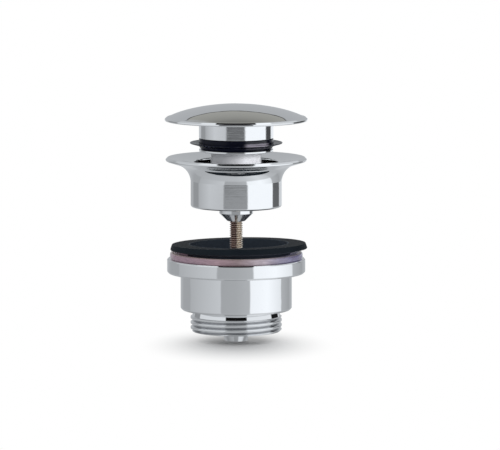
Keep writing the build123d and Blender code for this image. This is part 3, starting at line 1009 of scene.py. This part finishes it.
def make_lip_seal():
    """Seal ring that narrows to its foot, with its slender lip turned up.

    The lip's radius grows by 0.05 times the sine of twice the angle and 0.03 times the sine of
    five times the angle, less lip_trim, so that it stays inside the widest circle.
    """
    seat = land_radius + seat_play
    waist = seat + seal_foot
    root = sleeve_bottom + lip_root_height
    tip = root + lip_rise
    belly_top = seal_top - 0.1
    ring = outline(
        (seat, sleeve_bottom, 0.1),
        (waist, sleeve_bottom, 0.4),
        (waist + lip_root_width, root, 0.5),
        (lip_radius, tip, 0.12),
        (lip_radius, tip + lip_edge_thickness, 0.15),
        (sleeve_radius + 0.05, root + lip_thickness + 0.25, 0.3),
        (sleeve_radius + seal_belly, sleeve_bottom + seal_belly_height, 0.6),
        (sleeve_radius - 0.06, belly_top, 0.3),
        (seat, belly_top + 0.05, 0.1),
    )

    def uneven(angle, radius, height):
        wave = 0.05 * np.sin(2 * angle + 0.9) + 0.03 * np.sin(5 * angle)
        return radius + (wave - lip_trim) * (radius > lip_radius - lip_width)

    piece(
        "lip_ring", [turned_grid(ring, relief=uneven)], "plunger", SEAL_RUBBER,
        ["lip_seal"],
    )


def make_cap():
    """Mushroom cap: a dome, a hemmed edge, and the boss for the rod.

    The dome's drop at a radius is the radius squared over twice dome_radius, plus dome_turn_down
    times the eighth power of the radius over the cap's own. Round the dome runs a chamfer, and
    below it the edge stands nearly upright.
    """

    def dome(radius):
        return cap_top - radius**2 / (2 * dome_radius) - dome_turn_down * (radius / cap_radius) ** 8

    hem = cap_radius - cap_hem
    brow = cap_lower_edge + cap_brow_height
    boss_bottom = sleeve_web_bottom + sleeve_web
    boss_top = cap_top - cap_wall - 0.1
    outer = [(r, dome(r)) for r in np.linspace(0, cap_radius - dome_edge, 64)]
    inner = [(r, dome(r) - cap_wall) for r in np.linspace(hem, 0, 40)]
    shell = outline(
        *outer,
        (cap_radius - cap_chamfer, brow + cap_chamfer_height, 0.5),
        (cap_radius - cap_brow, brow, 0.3),
        (cap_radius, cap_lower_edge + cap_bevel_height, 0.2),
        (cap_radius - cap_bevel, cap_lower_edge, 0.15),
        (hem, cap_lower_edge, 0.3),
        *inner,
        closed=False,
    )
    boss = outline(
        (tip_bore, boss_bottom, 0.1),
        (cap_boss_radius, boss_bottom, 0.3),
        (cap_boss_radius, boss_top),
        (tip_bore, boss_top),
    )
    grids = [turned_grid(shell[::-1], 288, closed=False), turned_grid(boss, 64)]
    piece("domed_cap", grids, "plunger", CHROME_CAP, ["mushroom_cap"])


def dress_inner_pieces():
    """Materials for the pieces of the frame that stay as they are."""
    wear = {
        "bolt_washer": BRONZE,
        "cartridge_base": TURNED,
        "push_rod": TURNED,
        "hub_o_ring": SEAL_RUBBER,
        "rod_o_ring": SEAL_RUBBER,
        "cap_o_ring": SEAL_RUBBER,
        "track_sleeve": WHITE_ACETAL,
        "top_bush": WHITE_ACETAL,
        "guide_bush": WHITE_ACETAL,
        "index_ring": GREY_ACETAL,
        "bush_circlip": STEEL,
        "rod_clip": STEEL,
        "spring_seat": STEEL,
    }
    for node, finish in wear.items():
        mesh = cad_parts[node].data
        if not mesh.materials:
            mesh.materials.append(finish)
        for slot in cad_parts[node].material_slots:
            slot.material = finish


# Studio

# Levels that the chrome shows, by the turn round the object in degrees from the camera's side.
# The zones between the edges are: behind left, a gap at the left, left, front, right, a gap at the
# right, behind right. Each has one to three levels, spread evenly from its start to its end.
# A wall of the lower body shows the near floor, the spigot the middle and the plunger the far one.
# Close to the object the floor is evenly lit, and so is what the flare and the threads show.
near_edges = (-141, -110, -31.5, 28.7, 107, 142)
near_levels = ((190, 164), (161,), (172, 196), (164, 167, 177), (243, 251, 230), (176, 158), (166, 190))
middle_edges = (-139.5, -111, -32.5, 29.2, 106, 139.5)
middle_levels = ((178, 168), (147,), (170, 193, 187), (145, 149), (249,), (100, 97), (205, 212))
far_edges = (-140.5, -112, -30, 27.3, 105.5, 135.5)
far_levels = ((200, 188), (148,), (168, 201, 193), (99, 105), (249,), (73,), (236, 240))
close_levels = ((176, 170), (172,), (174, 182), (182, 184, 192), (194, 212, 194), (184, 176), (172, 176))
wall_edges = (-142, -111, -28, 28, 107, 147)
low_wall_levels = ((168,), (140,), (212, 220), (135,), (228,), (24,), (168,))
high_wall_levels = ((168,), (190,), (216, 222), (165,), (246,), (205,), (168,))

COOL = (0.962, 1.0, 1.045)
WARM = (1.005, 1.012, 0.955)
chrome_share = 0.935


def shown(level, tint=WHITE):
    """What a mirror of this chrome must see so that it shows a level."""
    return grey(level, tuple(t / chrome_share for t in tint))


def ring_of(graph, turn, edges, zones):
    """Colour by the turn round the object, from the edges between zones and the zones' levels."""
    soft = 1.0
    bounds = (-180, *edges, 180)
    stops = []
    for start, end, levels in zip(bounds, bounds[1:], zones):
        angles = np.linspace(start + soft, end - soft, max(2, len(levels)))
        spread = np.interp(np.linspace(0, 1, len(angles)), np.linspace(0, 1, len(levels)), levels)
        stops += [((a + 180) / 360, shown(v, COOL)) for a, v in zip(angles, spread)]
    return graph.ramp(turn, *stops)


def make_floor():
    """A plain pale floor. Mirrors see it as paper that is lit from the right and dims in front.

    The camera sees it white, with the object's soft shade inside an ellipse that lies a little to the
    front, where the floor's colour is darkened to a painted shadow tone, and a patch of painted light
    under the object on both sides of its foot. Mirrors see a painted shade close to the object too.

    A wall of the object at half the turn of its reflection stands off the axis, so the turn of
    the spot that it sees is less than that of its reflection. The turn is put right by the
    wall's offset, wall_radius times the sine of half the turn, over the spot's distance.
    """
    half_metres = 12.0
    wall_radius = 24.0
    shade_middle = 0.5
    shade_half_width = 37.0
    shade_half_depth = 51.0
    shade_forward = 18.0
    shade_start, shade_end = 0.08, 1.25
    foot_middle = -2.5
    under_light = 0.22
    close_shade = 0.32
    darkest = (0.02, 0.02, 0.02)
    pale = (0.70, 0.70, 0.70)

    h = half_metres
    mesh = bpy.data.meshes.new("floor")
    mesh.from_pydata([(-h, -h, 0), (h, -h, 0), (h, h, 0), (-h, h, 0)], [], [(0, 1, 2, 3)])
    floor = bpy.data.objects.new("floor", mesh)
    bpy.context.scene.collection.objects.link(floor)
    f = Finish("pale_floor")

    reach = f.far_out(f.x, f.y)
    spot = f.around(f.x, f.y)
    turn = spot + f.math("SINE", (spot - 0.5) * math.pi) * (wall_radius / (2 * math.pi)) / reach
    close = ring_of(f, turn, near_edges, close_levels)
    near = ring_of(f, turn, near_edges, near_levels)
    middle = ring_of(f, turn, middle_edges, middle_levels)
    far = ring_of(f, turn, far_edges, far_levels)
    # Painted shadow: mirrors see the floor darker close to the object.
    seen = f.mix(f.step(reach, 12.0, 60.0), f.mix(close_shade, near, darkest), close)
    seen = f.mix(f.step(reach, 105.0, 128.0), seen, near)
    seen = f.mix(f.step(reach, 350.0, 500.0), seen, middle)
    seen = f.mix(f.step(reach, 700.0, 830.0), seen, far)

    side = (f.x - shade_middle) / shade_half_width
    front = (f.y + shade_forward) / shade_half_depth
    clear = f.step(f.far_out(side, front), shade_start, shade_end)
    beside = f.step(abs(f.x - foot_middle), 5.0, 9.0)
    # Painted light: a lighter patch under the object on both sides of its foot.
    clear = f.larger(clear, f.step(f.y, -14.0, 0.0) * beside * under_light)

    camera = f.add("ShaderNodeLightPath", output="Is Camera Ray")
    glossy = f.add("ShaderNodeLightPath", output="Is Glossy Ray")
    # Painted shadow: for the camera the floor's colour is 0.70, so the shade inside the ellipse is
    # deeper.
    lit = f.add("ShaderNodeBsdfDiffuse", {"Color": f.mix(camera, WHITE, pale)})
    white = f.add("ShaderNodeEmission", {"Color": (*WHITE, 1.0)})
    paper = f.add("ShaderNodeEmission", {"Color": seen})
    plain = f.add("ShaderNodeMixShader", {0: clear * camera, 1: lit, 2: white})
    both = f.add("ShaderNodeMixShader", {0: glossy, 1: plain, 2: paper})
    f.add("ShaderNodeOutputMaterial", {"Surface": both})
    mesh.materials.append(f.material)


def make_world():
    """Even soft light, white behind the object, and a studio of soft boxes for mirrors.

    Behind the object stands a blue-grey panel before an olive wall. The panel's upper edge has a
    height over depth that grows with arch_curve times the square of its side over depth, and a
    dark line runs along it. The roof is white, a little dimmer on the left, with a black strip
    from front to back, which tapers behind the zenith. On the camera's side there is a low dark
    opening.
    """
    arch_height = 0.496
    arch_curve = 2.5
    panel_middle = 0.03
    panel_half_width = 0.27
    panel_fade = 0.40
    roof_start = 0.86
    roof_strip = 0.30
    roof_taper = 0.25
    strip_blur = 0.015
    least_depth = 0.05

    world = bpy.data.worlds.new("studio")
    bpy.context.scene.world = world
    w = Graph(world)
    x, y, z = w.parts(w.add("ShaderNodeTexCoord", output="Generated"))
    turn = w.around(x, y)
    off_front = abs(turn - 0.5)

    low_walls = ring_of(w, turn, wall_edges, low_wall_levels)
    high_walls = ring_of(w, turn, wall_edges, high_wall_levels)
    sides = w.mix(w.step(z, 0.38, 0.46), low_walls, high_walls)
    opening = w.fall(off_front, 0.075, 0.081) * w.step(z, 0.09, 0.12) * w.fall(z, 0.34, 0.37)
    sides = w.mix(opening, sides, shown(14))

    depth = w.larger(y, least_depth)
    side = x / depth
    height = z / depth - side * side * arch_curve
    panel = w.ramp(height, (0.0, shown(176, COOL)), (arch_height, shown(170, COOL)))
    beyond = w.ramp(
        height * 0.5,
        (arch_height * 0.5, shown(154, WARM)),
        (0.38, shown(146, WARM)),
        (0.65, shown(122, WARM)),
        (1.0, shown(120, WARM)),
    )
    above = height - arch_height
    within = w.fall(abs(side - panel_middle), panel_half_width, panel_fade)
    wall = w.mix(w.step(above, 0.004, 0.016) * within, panel, beyond)
    line = w.step(above, -0.014, -0.006) * w.fall(above, 0.006, 0.020) * within
    wall = w.mix(line, wall, shown(70))
    studio = w.mix(w.step(off_front, 0.40, 0.43), sides, wall)

    strip_edge = z * roof_strip - w.larger(y, 0.0) * roof_taper
    strip = w.step(abs(x), strip_edge - strip_blur, strip_edge + strip_blur)
    cloth = w.mix(w.step(x, -0.1, 0.1), shown(226, COOL), shown(252, COOL))
    roof = w.mix(strip, shown(12), cloth)
    studio = w.mix(w.step(z, roof_start, roof_start + 0.02), studio, roof)

    glossy = w.add("ShaderNodeLightPath", output="Is Glossy Ray")
    camera = w.add("ShaderNodeLightPath", output="Is Camera Ray")
    passing = w.add("ShaderNodeLightPath", output="Is Transmission Ray")
    colour = w.mix(glossy, (0.98, 0.99, 1.0), studio)
    colour = w.mix(w.larger(camera, passing), colour, WHITE)
    shader = w.add("ShaderNodeBackground", {"Color": colour, "Strength": 1.0})
    w.add("ShaderNodeOutputWorld", {"Surface": shader})


def make_camera():
    """Long lens a little above the object, aimed at the middle of the picture."""
    distance = 2100.0
    elevation = math.radians(6.5)
    aim_height = 53.2
    pixels_per_mm = 2.183
    picture_width = 500
    axis_column = 236.2
    data = bpy.data.cameras.new("camera")
    data.sensor_width = 36.0
    reach = distance / math.cos(elevation)
    data.lens = pixels_per_mm * reach * data.sensor_width / picture_width
    data.shift_x = (picture_width / 2 - axis_column) / picture_width
    data.clip_end = 50.0
    camera = bpy.data.objects.new("camera", data)
    camera.location = (0, -distance * MM, (aim_height + distance * math.tan(elevation)) * MM)
    camera.rotation_euler = (math.radians(90) - elevation, 0, 0)
    bpy.context.scene.collection.objects.link(camera)
    bpy.context.scene.camera = camera


make_waste_body()
make_gasket()
make_washer()
make_bolt()
make_flange()
make_guide_tube()
make_spring()
make_sleeve()
make_lip_seal()
make_cap()
dress_inner_pieces()
make_floor()
make_world()
make_camera()
bpy.context.scene.view_settings.view_transform = "Standard"
